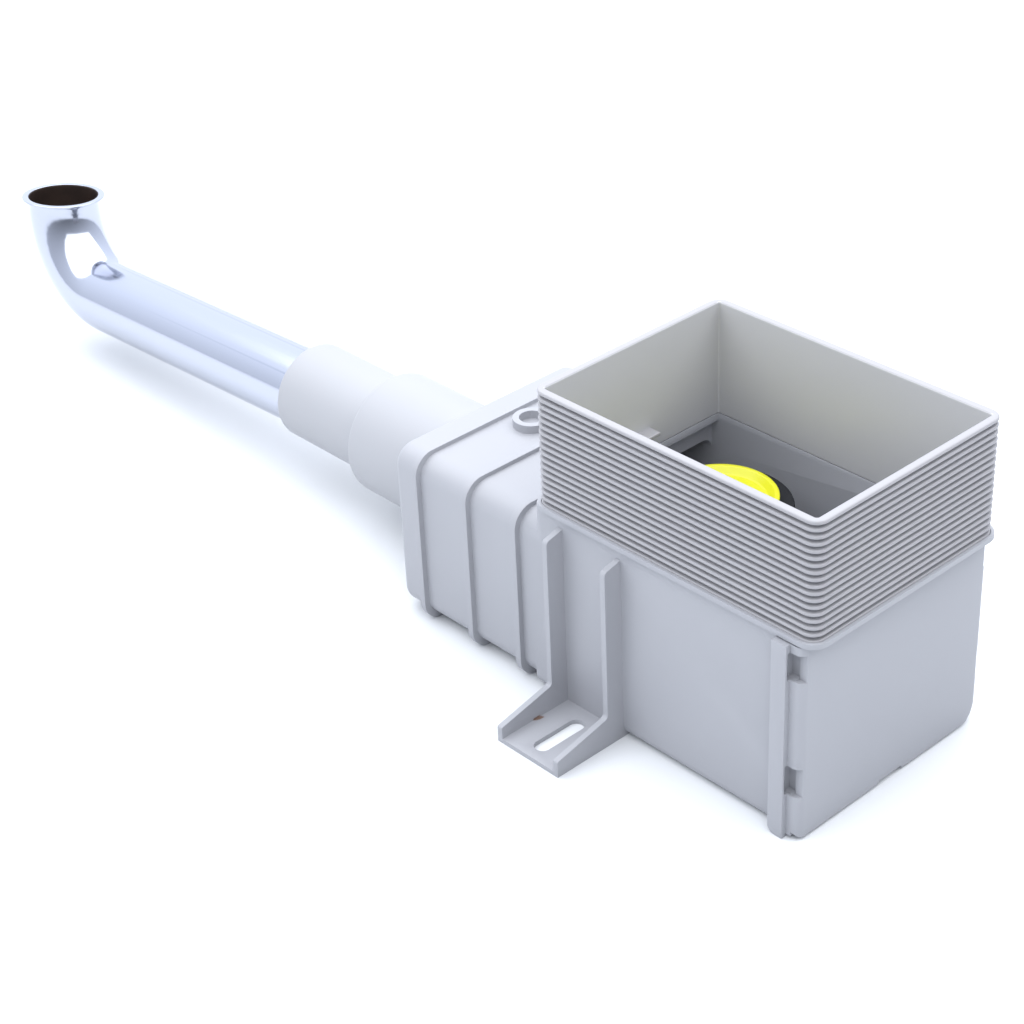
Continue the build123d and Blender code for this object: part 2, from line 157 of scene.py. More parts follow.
# %% Graded surroundings
BRIGHT_WALL, DIM_WALL = 2.15, 0.0
DIM_SIDE = (0.62, -0.32, -0.68)
world = bpy.data.worlds.new("pale_studio_walls")
world.use_nodes = True
tree = world.node_tree
background = tree.nodes["Background"]
background.inputs["Color"].default_value = linear("#DEE5F2")
direction = add(tree, "ShaderNodeTexCoord")
towards_dim = add(tree, "ShaderNodeVectorMath", {0: direction.outputs["Generated"]},
                  operation="DOT_PRODUCT", in1=DIM_SIDE)
strength = add(tree, "ShaderNodeMapRange", {"Value": towards_dim.outputs["Value"]},
               From_Min=-1.0, From_Max=1.0, To_Min=BRIGHT_WALL, To_Max=DIM_WALL)
tree.links.new(strength.outputs["Result"], background.inputs["Strength"])
bpy.context.scene.world = world
bpy.context.scene.view_settings.view_transform = "Standard"
print("walls:", BRIGHT_WALL, "at the bright end,", DIM_WALL, "at the dim end")

# %% [markdown]
# ## Moulded polypropylene
#
# The box, the frame and the spigot are injection-moulded polypropylene. The mould's steel was spark-eroded, so
# the plastic leaves it with a fine satin grain and not a gloss. A broad, faint drift in tone keeps a large wall
# from looking like flat paint. The real grain is near 0.05 mm; it is drawn at about 0.5 mm so that it shows.


# %% A satin plastic
DRIFTS_PER_M, ROUGHNESS_SPREAD, POLYPROPYLENE_IOR = 14.0, 0.04, 1.49


def satin_plastic(name, colour, roughness, grain_mm=0.5, grain_depth_mm=0.012, drift=0.035):
    """Moulded plastic from a spark-eroded mould, in one colour."""
    material = bpy.data.materials.new(name)
    material.use_nodes = True
    tree = material.node_tree
    shader = tree.nodes["Principled BSDF"]
    place = add(tree, "ShaderNodeTexCoord")
    broad = add(tree, "ShaderNodeTexNoise", {"Vector": place.outputs["Object"]},
                Scale=DRIFTS_PER_M, Detail=3.0)
    tone = add(tree, "ShaderNodeMapRange", {"Value": broad.outputs["Fac"]},
               To_Min=1 - drift, To_Max=1 + drift)
    mixed = add(tree, "ShaderNodeVectorMath", {"Scale": tone.outputs["Result"]},
                operation="SCALE", in0=linear(colour)[:3])
    tree.links.new(mixed.outputs["Vector"], shader.inputs["Base Color"])
    grain = add(tree, "ShaderNodeTexNoise", {"Vector": place.outputs["Object"]},
                Scale=1 / (grain_mm * MM), Detail=2.0)
    gloss = add(tree, "ShaderNodeMapRange", {"Value": grain.outputs["Fac"]},
                To_Min=roughness - ROUGHNESS_SPREAD, To_Max=roughness + ROUGHNESS_SPREAD)
    tree.links.new(gloss.outputs["Result"], shader.inputs["Roughness"])
    bump = add(tree, "ShaderNodeBump", {"Height": grain.outputs["Fac"]},
               Strength=1.0, Distance=grain_depth_mm * MM)
    tree.links.new(bump.outputs["Normal"], shader.inputs["Normal"])
    shader.inputs["IOR"].default_value = POLYPROPYLENE_IOR
    return material


housing_plastic = satin_plastic("grey_moulded_polypropylene", "#9B9CA1", 0.46)
frame_plastic = satin_plastic("pale_grey_moulded_polypropylene", "#9B9A9D", 0.44)
# The frame's inside: the same grey made paler, as painted light on the inner walls that the lamps leave dim.
inner_painted_lighter_plastic = satin_plastic("inner_grey_polypropylene_painted_lighter", "#B7B7B8", 0.4)
spigot_plastic = satin_plastic("white_grey_moulded_polypropylene", "#9FA0A4", 0.48)
insert_plastic = satin_plastic("grey_insert_polypropylene", "#B0B2B5", 0.5)
print("plastics:", housing_plastic.name, frame_plastic.name, spigot_plastic.name)

# %% [markdown]
# ## A fleck of dirt on the foot
#
# A brown fleck lies beside the gusset on the foot that the camera sees. It is a stain and not a shape, so it is
# mixed into the housing's plastic: the distance from the fleck's middle, measured along its own turned axes,
# gives a small oval, and noise makes the oval's edge ragged.

# %% Brown fleck
FLECK_MIDDLE, FLECK_SIZE = Vector((-48.7, -60.4, 1.8)), Vector((3.0, 1.0, 1.0))
FLECK_TURN = radians(65)
FLECK_FULL, FLECK_GONE, FLECK_COVER = 1.2, 1.6, 0.85
RAGS_PER_M = 900.0
tree = housing_plastic.node_tree
place = add(tree, "ShaderNodeTexCoord")
off_middle = add(tree, "ShaderNodeVectorMath", {0: place.outputs["Object"]}, operation="SUBTRACT",
                 in1=FLECK_MIDDLE * MM)
turned_fleck = add(tree, "ShaderNodeVectorRotate", {"Vector": off_middle.outputs[0]},
                   rotation_type="Z_AXIS", Angle=-FLECK_TURN)
scaled = add(tree, "ShaderNodeVectorMath", {0: turned_fleck.outputs[0]}, operation="MULTIPLY",
             in1=[1 / (size * MM) for size in FLECK_SIZE])
far = add(tree, "ShaderNodeVectorMath", {0: scaled.outputs[0]}, operation="LENGTH")
ragged = add(tree, "ShaderNodeTexNoise", {"Vector": place.outputs["Object"]}, Scale=RAGS_PER_M, Detail=2.0)
edge = add(tree, "ShaderNodeMath", {0: far.outputs["Value"], 1: ragged.outputs["Fac"]}, operation="ADD")
dirt = add(tree, "ShaderNodeMapRange", {"Value": edge.outputs[0]},
           From_Min=FLECK_FULL, From_Max=FLECK_GONE, To_Min=FLECK_COVER, To_Max=0.0)
shader = tree.nodes["Principled BSDF"]
clean_colour = shader.inputs["Base Color"].links[0].from_socket
dirty = add(tree, "ShaderNodeMix", {"Factor": dirt.outputs["Result"], 6: clean_colour}, data_type="RGBA",
            in7=linear("#6B4A33"))
tree.links.new(dirty.outputs[2], shader.inputs["Base Color"])
print("fleck:", FLECK_SIZE.x * 2, "by", FLECK_SIZE.y * 2, "mm, in", housing_plastic.name)

# %% [markdown]
# ## Yellow polyethylene and black rubber
#
# The plug that keeps plaster out of the inlet is a thin polyethylene moulding, soft and slightly waxy, so some
# light passes below its surface. The collar under it is moulded rubber, nearly black and dull, with a fine
# bloom.

# %% Yellow plug and black rubber
yellow_plastic = satin_plastic("yellow_moulded_polyethylene", "#C1C00C", 0.34,
                               grain_mm=0.6, grain_depth_mm=0.006, drift=0.02)
yellow_shader = yellow_plastic.node_tree.nodes["Principled BSDF"]
yellow_shader.inputs["Subsurface Weight"].default_value = 0.15
yellow_shader.inputs["Subsurface Radius"].default_value = (0.0015, 0.0012, 0.0002)
yellow_shader.inputs["IOR"].default_value = 1.51
rubber = satin_plastic("black_moulded_rubber", "#18191D", 0.62,
                       grain_mm=0.35, grain_depth_mm=0.02, drift=0.1)
rubber_shader = rubber.node_tree.nodes["Principled BSDF"]
rubber_shader.inputs["IOR"].default_value = 1.52
rubber_shader.inputs["Specular IOR Level"].default_value = 0.2
print("plug:", yellow_plastic.name, "seals:", rubber.name)

# %% [markdown]
# ## Chromed brass
#
# The wall tube is drawn brass, polished and chromed outside. Chrome is a bright, faintly blue mirror. Drawing
# and polishing leave very fine lines along the tube, so the noise that roughens it is stretched along the run.
# The run droops by 2.6 degrees, and the coordinates are turned by as much to follow it.

# %% Chrome: a drawn and polished mirror
TUBE_DROOP = radians(2.6)
DRAWN_STRETCH = (0.03, 1.0, 1.0)
POLISH_BEST, POLISH_WORST = 0.07, 0.17
FINE_LINES_PER_M, DRAW_MARKS_PER_M = 900.0, 260.0
DRAW_MARK_DEPTH_MM = 0.03
chrome = bpy.data.materials.new("polished_chromed_brass")
chrome.use_nodes = True
tree = chrome.node_tree
shader = tree.nodes["Principled BSDF"]
shader.inputs["Metallic"].default_value = 1.0
place = add(tree, "ShaderNodeTexCoord")
along_tube = add(tree, "ShaderNodeVectorRotate", {"Vector": place.outputs["Object"]},
                 rotation_type="Y_AXIS", Angle=TUBE_DROOP)
drawn = add(tree, "ShaderNodeMapping", {"Vector": along_tube.outputs[0]}, Scale=DRAWN_STRETCH)
lines = add(tree, "ShaderNodeTexNoise", {"Vector": drawn.outputs["Vector"]},
            Scale=FINE_LINES_PER_M, Detail=3.0)
polish = add(tree, "ShaderNodeMapRange", {"Value": lines.outputs["Fac"]},
             To_Min=POLISH_BEST, To_Max=POLISH_WORST)
tree.links.new(polish.outputs["Result"], shader.inputs["Roughness"])
draw_marks = add(tree, "ShaderNodeTexNoise", {"Vector": drawn.outputs["Vector"]},
                 Scale=DRAW_MARKS_PER_M, Detail=2.0)
ripple = add(tree, "ShaderNodeBump", {"Height": draw_marks.outputs["Fac"]},
             Strength=1.0, Distance=DRAW_MARK_DEPTH_MM * MM)
tree.links.new(ripple.outputs["Normal"], shader.inputs["Normal"])
print("tube:", chrome.name, "with roughness", POLISH_BEST, "to", POLISH_WORST)

# %% [markdown]
# ## Long lines in the chrome
#
# A few faint darker lines run the whole length of the straight part. Noise stretched five hundred times along
# the run draws them. They end where the bend begins, because that stretch would cut them into dashes round the
# bend.

# %% Chrome: long lines on the run
LONG_STRETCH = (0.002, 1.0, 1.0)
LONG_LINES_PER_M = 420.0
LINE_FAINT, LINE_FULL, LINE_STRENGTH = 0.60, 0.70, 0.5
BEND_BEGINS, FADE_BEFORE, FADE_AFTER = -388 * MM, 6 * MM, 12 * MM
long_lines = add(tree, "ShaderNodeMapping", {"Vector": along_tube.outputs[0]}, Scale=LONG_STRETCH)
long_line_noise = add(tree, "ShaderNodeTexNoise", {"Vector": long_lines.outputs["Vector"]},
             Scale=LONG_LINES_PER_M, Detail=1.0)
long_line_darkening = add(tree, "ShaderNodeMapRange", {"Value": long_line_noise.outputs["Fac"]},
             From_Min=LINE_FAINT, From_Max=LINE_FULL, To_Min=0.0, To_Max=LINE_STRENGTH)
sides = add(tree, "ShaderNodeSeparateXYZ", {0: place.outputs["Object"]})
on_run = add(tree, "ShaderNodeMapRange", {"Value": sides.outputs["X"]},
             From_Min=BEND_BEGINS - FADE_BEFORE, From_Max=BEND_BEGINS + FADE_AFTER)
run_lines = add(tree, "ShaderNodeMath", {0: long_line_darkening.outputs["Result"], 1: on_run.outputs["Result"]},
                operation="MULTIPLY")
chrome_colour = add(tree, "ShaderNodeMix", {"Factor": run_lines.outputs[0]}, data_type="RGBA",
                    in6=linear("#B8BCC8"), in7=linear("#8F95A6"))
tree.links.new(chrome_colour.outputs[2], shader.inputs["Base Color"])
print("chrome:", len(tree.nodes), "nodes")

# %% [markdown]
# ## Tarnished brass inside
#
# Nobody polishes the inside of a waste pipe. Its bare brass has tarnished to a blotchy dark brown, which is why
# the mouth looks almost black. Two browns mixed by soft noise give the blotches.

# %% Tarnished bore
BLOTCHES_PER_M = 160.0
tarnish = bpy.data.materials.new("tarnished_brass_bore")
tarnish.use_nodes = True
tree = tarnish.node_tree
shader = tree.nodes["Principled BSDF"]
place = add(tree, "ShaderNodeTexCoord")
blotch = add(tree, "ShaderNodeTexNoise", {"Vector": place.outputs["Object"]},
             Scale=BLOTCHES_PER_M, Detail=5.0)
brown = add(tree, "ShaderNodeMix", {"Factor": blotch.outputs["Fac"]}, data_type="RGBA",
            in6=linear("#1D1412"), in7=linear("#3A2A22"))
tree.links.new(brown.outputs[2], shader.inputs["Base Color"])
shader.inputs["Metallic"].default_value = 0.4
shader.inputs["Roughness"].default_value = 0.62
print("bore:", tarnish.name)

# %% [markdown]
# ## The ribbed plaster frame
#
# The frame is one moulding whose outside is scored by seventeen equal grooves, so that it can be sawn down to
# the plaster's surface at any of them. Its shape follows a rule, which suits Geometry Nodes: a toothed outline
# is drawn from point numbers, rounded, and swept round a rounded rectangle. The sizes come first, as the packed
# model has them, except for the grooves: here they are a little deeper, wider and rounder than its sharp ones,
# as the light on the photographed ribs asks.

# %% Frame sizes
opening = Vector((116.6, 84.2)) * MM
frame_wall = 3.1 * MM
frame_corner = 5.0 * MM
inner_corner = 0.7 * MM
frame_foot = 77.4 * MM
rim_top = 121.8 * MM
groove_count = 17
groove_pitch = 2.52 * MM
groove_width = 1.15 * MM
groove_depth = 2.0 * MM
first_groove = rim_top - 2.1 * MM
tooth_rounding = 0.68 * MM
print("frame:", groove_count, "grooves,", round(groove_pitch / MM, 2), "mm apart")

# %% [markdown]
# ## The tree's inputs
#
# Each size is a named input of the node tree, so the same tree could make a frame for another box. A helper
# adds one step of arithmetic at a time, which keeps the rules below close to how they would be said.

# %% Inputs and arithmetic
tree = bpy.data.node_groups.new("ribbed_frame", "GeometryNodeTree")
named_sizes = {
    "Length": opening.x + 2 * frame_wall, "Width": opening.y + 2 * frame_wall, "Wall": frame_wall,
    "Corner": frame_corner, "Inner Corner": inner_corner, "Foot": frame_foot, "Rim": rim_top,
    "First Groove": first_groove, "Pitch": groove_pitch, "Groove Width": groove_width,
    "Groove Depth": groove_depth, "Rounding": tooth_rounding,
}
for name in named_sizes:
    tree.interface.new_socket(name, in_out="INPUT", socket_type="NodeSocketFloat")
tree.interface.new_socket("Grooves", in_out="INPUT", socket_type="NodeSocketInt")
tree.interface.new_socket("Finish", in_out="INPUT", socket_type="NodeSocketMaterial")
# The inside finish is painted light: a paler copy of the frame's plastic.
tree.interface.new_socket("Inner Painted Light", in_out="INPUT", socket_type="NodeSocketMaterial")
tree.interface.new_socket("Geometry", in_out="OUTPUT", socket_type="NodeSocketGeometry")
given = tree.nodes.new("NodeGroupInput").outputs


def calc(operation, *values):
    """One step of arithmetic in the tree; each value is a number or an output."""
    node = add(tree, "ShaderNodeMath", operation=operation)
    for slot, value in enumerate(values):
        if isinstance(value, (int, float)):
            node.inputs[slot].default_value = value
        else:
            tree.links.new(value, node.inputs[slot])
    return node.outputs[0]


print("inputs:", ", ".join(item.name for item in tree.interface.items_tree if item.in_out == "INPUT"))

# %% [markdown]
# ## The toothed outline
#
# The outline is a line of points, and each point works out its own place from its number. Four points make each
# groove: in, down and out again. Four more close the outline round the frame's foot and its rim. One Fillet
# Curve node then rounds every corner, which is what turns saw cuts into moulded ribs.

# %% Outline from point numbers
RIB_ARC_STEPS = 4
tooth_points = calc("MULTIPLY", given["Grooves"], 4)
point_total = calc("ADD", tooth_points, 4)
number = add(tree, "GeometryNodeInputIndex").outputs[0]
in_groove = calc("MODULO", number, 4)
which_groove = calc("FLOOR", calc("DIVIDE", number, 4))
is_corner = calc("GREATER_THAN", number, calc("SUBTRACT", tooth_points, 0.5))
corner_number = calc("SUBTRACT", number, tooth_points)

# Where a groove's point lies: above or below the groove's middle, and at the surface or sunk
groove_middle = calc("SUBTRACT", given["First Groove"], calc("MULTIPLY", which_groove, given["Pitch"]))
above = calc("LESS_THAN", in_groove, 1.5)
half_step = calc("MULTIPLY", given["Groove Width"], calc("SUBTRACT", above, 0.5))
tooth_height = calc("ADD", groove_middle, half_step)
sunk = calc("LESS_THAN", calc("ABSOLUTE", calc("SUBTRACT", in_groove, 1.5)), 1.0)
tooth_reach = calc("MULTIPLY", sunk, calc("MULTIPLY", given["Groove Depth"], -1))

# The corner points are foot outside, foot inside, rim inside and rim outside
inside = calc("LESS_THAN", calc("ABSOLUTE", calc("SUBTRACT", corner_number, 1.5)), 1.0)
corner_reach = calc("MULTIPLY", inside, calc("MULTIPLY", given["Wall"], -1))
low = calc("LESS_THAN", corner_number, 1.5)
rise = calc("SUBTRACT", given["Rim"], given["Foot"])
corner_height = calc("SUBTRACT", given["Rim"], calc("MULTIPLY", low, rise))
to_corner = calc("SUBTRACT", corner_reach, tooth_reach)
reach = calc("ADD", tooth_reach, calc("MULTIPLY", is_corner, to_corner))
lift = calc("SUBTRACT", corner_height, tooth_height)
height = calc("ADD", tooth_height, calc("MULTIPLY", is_corner, lift))

outline_place = add(tree, "ShaderNodeCombineXYZ", {"X": reach, "Y": calc("MULTIPLY", height, -1)})
outline_points = add(tree, "GeometryNodeMeshLine", {"Count": point_total})
outline_set = add(tree, "GeometryNodeSetPosition",
                  {"Geometry": outline_points.outputs[0], "Position": outline_place.outputs[0]})
outline_curve = add(tree, "GeometryNodeMeshToCurve", {0: outline_set.outputs[0]})
outline_closed = add(tree, "GeometryNodeSetSplineCyclic", {0: outline_curve.outputs[0]}, Cyclic=True)
outline_round = add(tree, "GeometryNodeFilletCurve",
                    {0: outline_closed.outputs[0], "Radius": given["Rounding"]},
                    mode="POLY", Count=RIB_ARC_STEPS, Limit_Radius=True)
print("outline points:", 4 * groove_count + 4)

# %% [markdown]
# ## Round the opening
#
# The path is the frame's outside as seen from above: a rectangle with round corners. Sweeping the outline round
# it makes all four walls with their ribs at once, joined at the corners as the real moulding is.

# %% Sweep
CORNER_STEPS = 10
rectangle = add(tree, "GeometryNodeCurvePrimitiveQuadrilateral",
                {"Width": given["Length"], "Height": given["Width"]})
path = add(tree, "GeometryNodeFilletCurve", {0: rectangle.outputs[0], "Radius": given["Corner"]},
           mode="POLY", Count=CORNER_STEPS)
swept = add(tree, "GeometryNodeCurveToMesh", {0: path.outputs[0], 1: outline_round.outputs[0]})
outside_size = [round(named_sizes[side] / MM, 1) for side in ("Length", "Width")]
print("path:", " by ".join(map(str, outside_size)), "mm")

# %% [markdown]
# ## Sharp inner corners
#
# A sweep gives the inside of a corner the outside's arc less the wall. On the real frame the inner corners are
# almost sharp. So each point is folded into one quarter of the plan, its distance from the arc's middle is
# shrunk the more the deeper it lies in the wall, and it is folded back out.

# %% Inner corners
SHRINK_BEGINS, SHRINK_ENDS = 0.6, 1.0
where = add(tree, "GeometryNodeInputPosition").outputs[0]
flat = add(tree, "ShaderNodeVectorMath", {0: where}, operation="MULTIPLY", in1=(1, 1, 0)).outputs[0]
folded = add(tree, "ShaderNodeVectorMath", {0: flat}, operation="ABSOLUTE").outputs[0]
side_sign = add(tree, "ShaderNodeVectorMath", {0: flat}, operation="SIGN").outputs[0]
half_x = calc("SUBTRACT", calc("MULTIPLY", given["Length"], 0.5), given["Corner"])
half_y = calc("SUBTRACT", calc("MULTIPLY", given["Width"], 0.5), given["Corner"])
arc_middle = add(tree, "ShaderNodeCombineXYZ", {"X": half_x, "Y": half_y}).outputs[0]
out_of_arc = add(tree, "ShaderNodeVectorMath", {0: folded, 1: arc_middle}, operation="SUBTRACT").outputs[0]
arc_radius = add(tree, "ShaderNodeVectorMath", {0: out_of_arc}, operation="LENGTH").outputs["Value"]
depth_in_wall = calc("DIVIDE", calc("SUBTRACT", given["Corner"], arc_radius), given["Wall"])
wanted = calc("DIVIDE", given["Inner Corner"], calc("SUBTRACT", given["Corner"], given["Wall"]))
blend = add(tree, "ShaderNodeMapRange", {"Value": depth_in_wall, "To Max": wanted},
            From_Min=SHRINK_BEGINS, From_Max=SHRINK_ENDS, To_Min=1.0).outputs[0]
shrunk = add(tree, "ShaderNodeVectorMath", {0: out_of_arc, "Scale": blend}, operation="SCALE").outputs[0]
saved = calc("SUBTRACT", arc_radius, calc("MULTIPLY", arc_radius, blend))
saved_both = add(tree, "ShaderNodeCombineXYZ", {"X": saved, "Y": saved}).outputs[0]
moved_middle = add(tree, "ShaderNodeVectorMath", {0: arc_middle, 1: saved_both}, operation="ADD").outputs[0]
unfolded = add(tree, "ShaderNodeVectorMath", {0: moved_middle, 1: shrunk}, operation="ADD").outputs[0]
signed = add(tree, "ShaderNodeVectorMath", {0: unfolded, 1: side_sign}, operation="MULTIPLY").outputs[0]
upright = add(tree, "ShaderNodeVectorMath", {0: where}, operation="MULTIPLY", in1=(0, 0, 1)).outputs[0]
final_place = add(tree, "ShaderNodeVectorMath", {0: signed, 1: upright}, operation="ADD").outputs[0]
print("inner corners:", round(inner_corner / MM, 2), "mm, outer ones:", round(frame_corner / MM, 2), "mm")

# %% [markdown]
# ## Ribs outside, a smooth wall with painted light inside
#
# The ribbed outside is satin and the inside is a little smoother, so each gets its own finish. The inside's
# plastic is
# also paler: that is painted light, which brightens the inner walls that the lamps leave dim. A face whose
# middle lies deeper than nine tenths of the wall belongs to the inside. That is measured before anything moves
# and kept on the face.

# %% Two finishes: satin outside, painted light inside
INSIDE_SHARE = 0.9
reach_x, reach_y = add(tree, "ShaderNodeSeparateXYZ", {0: folded}).outputs[:2]
skin = calc("MULTIPLY", given["Wall"], INSIDE_SHARE)
beyond_x = calc("SUBTRACT", reach_x, calc("SUBTRACT", calc("MULTIPLY", given["Length"], 0.5), skin))
beyond_y = calc("SUBTRACT", reach_y, calc("SUBTRACT", calc("MULTIPLY", given["Width"], 0.5), skin))
kept = add(tree, "GeometryNodeCaptureAttribute", {"Geometry": swept.outputs[0]}, domain="FACE")
kept.capture_items.new("FLOAT", "Beyond")
tree.links.new(calc("MAXIMUM", beyond_x, beyond_y), kept.inputs["Beyond"])
inside_painted_lighter = calc("LESS_THAN", kept.outputs["Beyond"], 0.0)
squared = add(tree, "GeometryNodeSetPosition", {"Geometry": kept.outputs["Geometry"], "Position": final_place})
realized = add(tree, "GeometryNodeRealizeInstances", {0: squared.outputs[0]})
outside = add(tree, "GeometryNodeSetMaterial", {0: realized.outputs[0], "Material": given["Finish"]})
# The inside faces take the paler plastic, which is painted light.
finished = add(tree, "GeometryNodeSetMaterial",
               {0: outside.outputs[0], "Selection": inside_painted_lighter, "Material": given["Inner Painted Light"]})
tree.links.new(finished.outputs[0], tree.nodes.new("NodeGroupOutput").inputs[0])
print("frame tree:", len(tree.nodes), "nodes")


# %% [markdown]
# ## From a node tree to a plain mesh
#
# A finished piece is a plain mesh with its place in its points. This helper runs a tree on an empty object,
# copies the result, turns loose or inside-out faces the right way, and marks the edges that stay crisp.


# %% Bake, tidy and place helpers
MERGE_WITHIN = 0.002 * MM


def link(name, mesh, material=None):
    """A new object for a mesh, at the origin."""
    piece = bpy.data.objects.new(name, mesh)
    bpy.context.scene.collection.objects.link(piece)
    if material:
        mesh.materials.clear()
        mesh.materials.append(material)
    return piece


def close_and_smooth(mesh, crisp_angle=35.0):
    """Merges doubles, points every face outwards and keeps only sharp corners crisp."""
    shape = bmesh.new()
    shape.from_mesh(mesh)
    bmesh.ops.remove_doubles(shape, verts=shape.verts, dist=MERGE_WITHIN)
    bmesh.ops.recalc_face_normals(shape, faces=shape.faces)
    open_edges = sum(1 for edge in shape.edges if len(edge.link_faces) != 2)
    shape.to_mesh(mesh)
    shape.free()
    mesh.shade_smooth()
    mesh.set_sharp_from_angle(angle=radians(crisp_angle))
    return open_edges


def bake(name, tree, values, source=None):
    """Runs a node tree with these input values and returns its plain mesh."""
    helper = link(name + "_maker", source or bpy.data.meshes.new(name + "_maker"))
    modifier = helper.modifiers.new("maker", "NODES")
    modifier.node_group = tree
    inputs = [item for item in tree.interface.items_tree if item.in_out == "INPUT"]
    identifiers = {item.name: item.identifier for item in inputs}
    for key, value in values.items():
        modifier[identifiers[key]] = value
    graph = bpy.context.evaluated_depsgraph_get()
    mesh = bpy.data.meshes.new_from_object(helper.evaluated_get(graph))
    mesh.name = name
    helper.modifiers.remove(modifier)
    bpy.data.objects.remove(helper)
    return mesh


print("helpers ready: link, close_and_smooth, bake")

# %% [markdown]
# ## The frame as a mesh
#
# The tree now makes the frame from its sizes, its satin finish and the paler inside one, which is painted light
# on the inner walls. The crisp angle is set high, so that the small arcs of the ribs shade as one soft line
# each.

# %% Bake the frame
FRAME_CRISP_ANGLE = 50.0
# The paler inside plastic is painted light on the frame's inner walls.
frame_finish_and_painted_light = {"Finish": frame_plastic, "Inner Painted Light": inner_painted_lighter_plastic}
frame_mesh = bake("ribbed_frame", tree, {**named_sizes, "Grooves": groove_count, **frame_finish_and_painted_light})
open_edges = close_and_smooth(frame_mesh, FRAME_CRISP_ANGLE)
print("ribbed frame:", len(frame_mesh.polygons), "faces,", open_edges, "open edges")

# %% [markdown]
# ## The frame's locating lug
#
# A small flat tongue stands out of the frame's inner wall on the outlet's side. It is a plate with rounded
# edges, so it is made as a box whose edges are bevelled, and it joins the frame's mesh.


# %% Lug
LUG_LOW, LUG_HIGH, LUG_ROUNDING = Vector((-59.1, -7.2, 84.8)), Vector((-53.2, 7.2, 86.2)), 0.3


def rounded_block(low, high, rounding, steps=3):
    """A box between two corners, in metres, with rounded edges, as a bmesh."""
    shape = bmesh.new()
    bmesh.ops.create_cube(shape, size=1.0)
    size = [high[i] - low[i] for i in range(3)]
    middle = [(high[i] + low[i]) / 2 for i in range(3)]
    bmesh.ops.scale(shape, vec=size, verts=shape.verts)
    bmesh.ops.translate(shape, vec=middle, verts=shape.verts)
    bmesh.ops.bevel(
        shape, geom=shape.edges[:], offset=rounding, segments=steps, affect="EDGES", profile=0.5,
    )
    return shape


lug = rounded_block(LUG_LOW * MM, LUG_HIGH * MM, LUG_ROUNDING * MM)
lug.from_mesh(frame_mesh)
lug.to_mesh(frame_mesh)
lug.free()
frame_mesh.shade_smooth()
frame_mesh.set_sharp_from_angle(angle=radians(FRAME_CRISP_ANGLE))
ribbed_frame = link("ribbed_plaster_frame", frame_mesh)
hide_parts("plaster_frame")
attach(ribbed_frame, ROOT)
face_finishes = [frame_mesh.materials[face.material_index] for face in frame_mesh.polygons]
painted_lighter_faces = face_finishes.count(inner_painted_lighter_plastic)
print("frame and lug:", len(frame_mesh.polygons), "faces, of them inside:", painted_lighter_faces)


# %% [markdown]
# ## Softened copies of the box and its end cap
#
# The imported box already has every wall, band, gusset and slot in place, but its corners are perfectly sharp,
# and a real moulding has none that are. A copy of it is merged, its flat triangles are joined, and a Bevel
# modifier rounds each corner by a fraction of a millimetre, which is what draws the fine pale lines of light
# along the real box.


# %% Softened copy of a CAD node
FLAT_WITHIN, BEVEL_ABOVE, CRISP_ABOVE = radians(0.4), radians(38), radians(35)
WELD_WITHIN = 0.001 * MM


def softened(node, name, material, radius_mm, steps=3):
    """A copy of a CAD node with rounded corners, ready to ride in its place."""
    mesh = nodes[node].data.copy()
    shape = bmesh.new()
    shape.from_mesh(mesh)
    bmesh.ops.remove_doubles(shape, verts=shape.verts, dist=WELD_WITHIN)
    bmesh.ops.dissolve_limit(
        shape, angle_limit=FLAT_WITHIN, use_dissolve_boundaries=False, verts=shape.verts, edges=shape.edges,
    )
    shape.to_mesh(mesh)
    shape.free()
    piece = link(name, mesh, material)
    bevel = piece.modifiers.new("moulded_corners", "BEVEL")
    bevel.width = radius_mm * MM
    bevel.segments = steps
    bevel.limit_method = "ANGLE"
    bevel.angle_limit = BEVEL_ABOVE
    graph = bpy.context.evaluated_depsgraph_get()
    rounded = bpy.data.meshes.new_from_object(piece.evaluated_get(graph))
    piece.modifiers.remove(bevel)
    piece.data = rounded
    rounded.shade_smooth()
    rounded.set_sharp_from_angle(angle=CRISP_ABOVE)
    print(name, len(rounded.polygons), "faces")
    return piece


housing = softened("housing", "moulded_wall_box", housing_plastic, radius_mm=0.65)
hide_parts("housing")
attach(housing, ROOT)

end_cap = softened("end_cap", "clipped_end_cap", housing_plastic, radius_mm=0.35)

# %% [markdown]
# ## The cap's rounder corner
#
# The cap's far lower corner is much rounder than the near one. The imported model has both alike, so this one is
# drawn in here: cuts fan out from the middle of the wanted arc to give the mesh points there, and whatever lies
# in that quarter is pulled in until the square corner has become the arc. The cap's side is itself rounded
# towards its face, so how far out it reaches is worked out point by point.

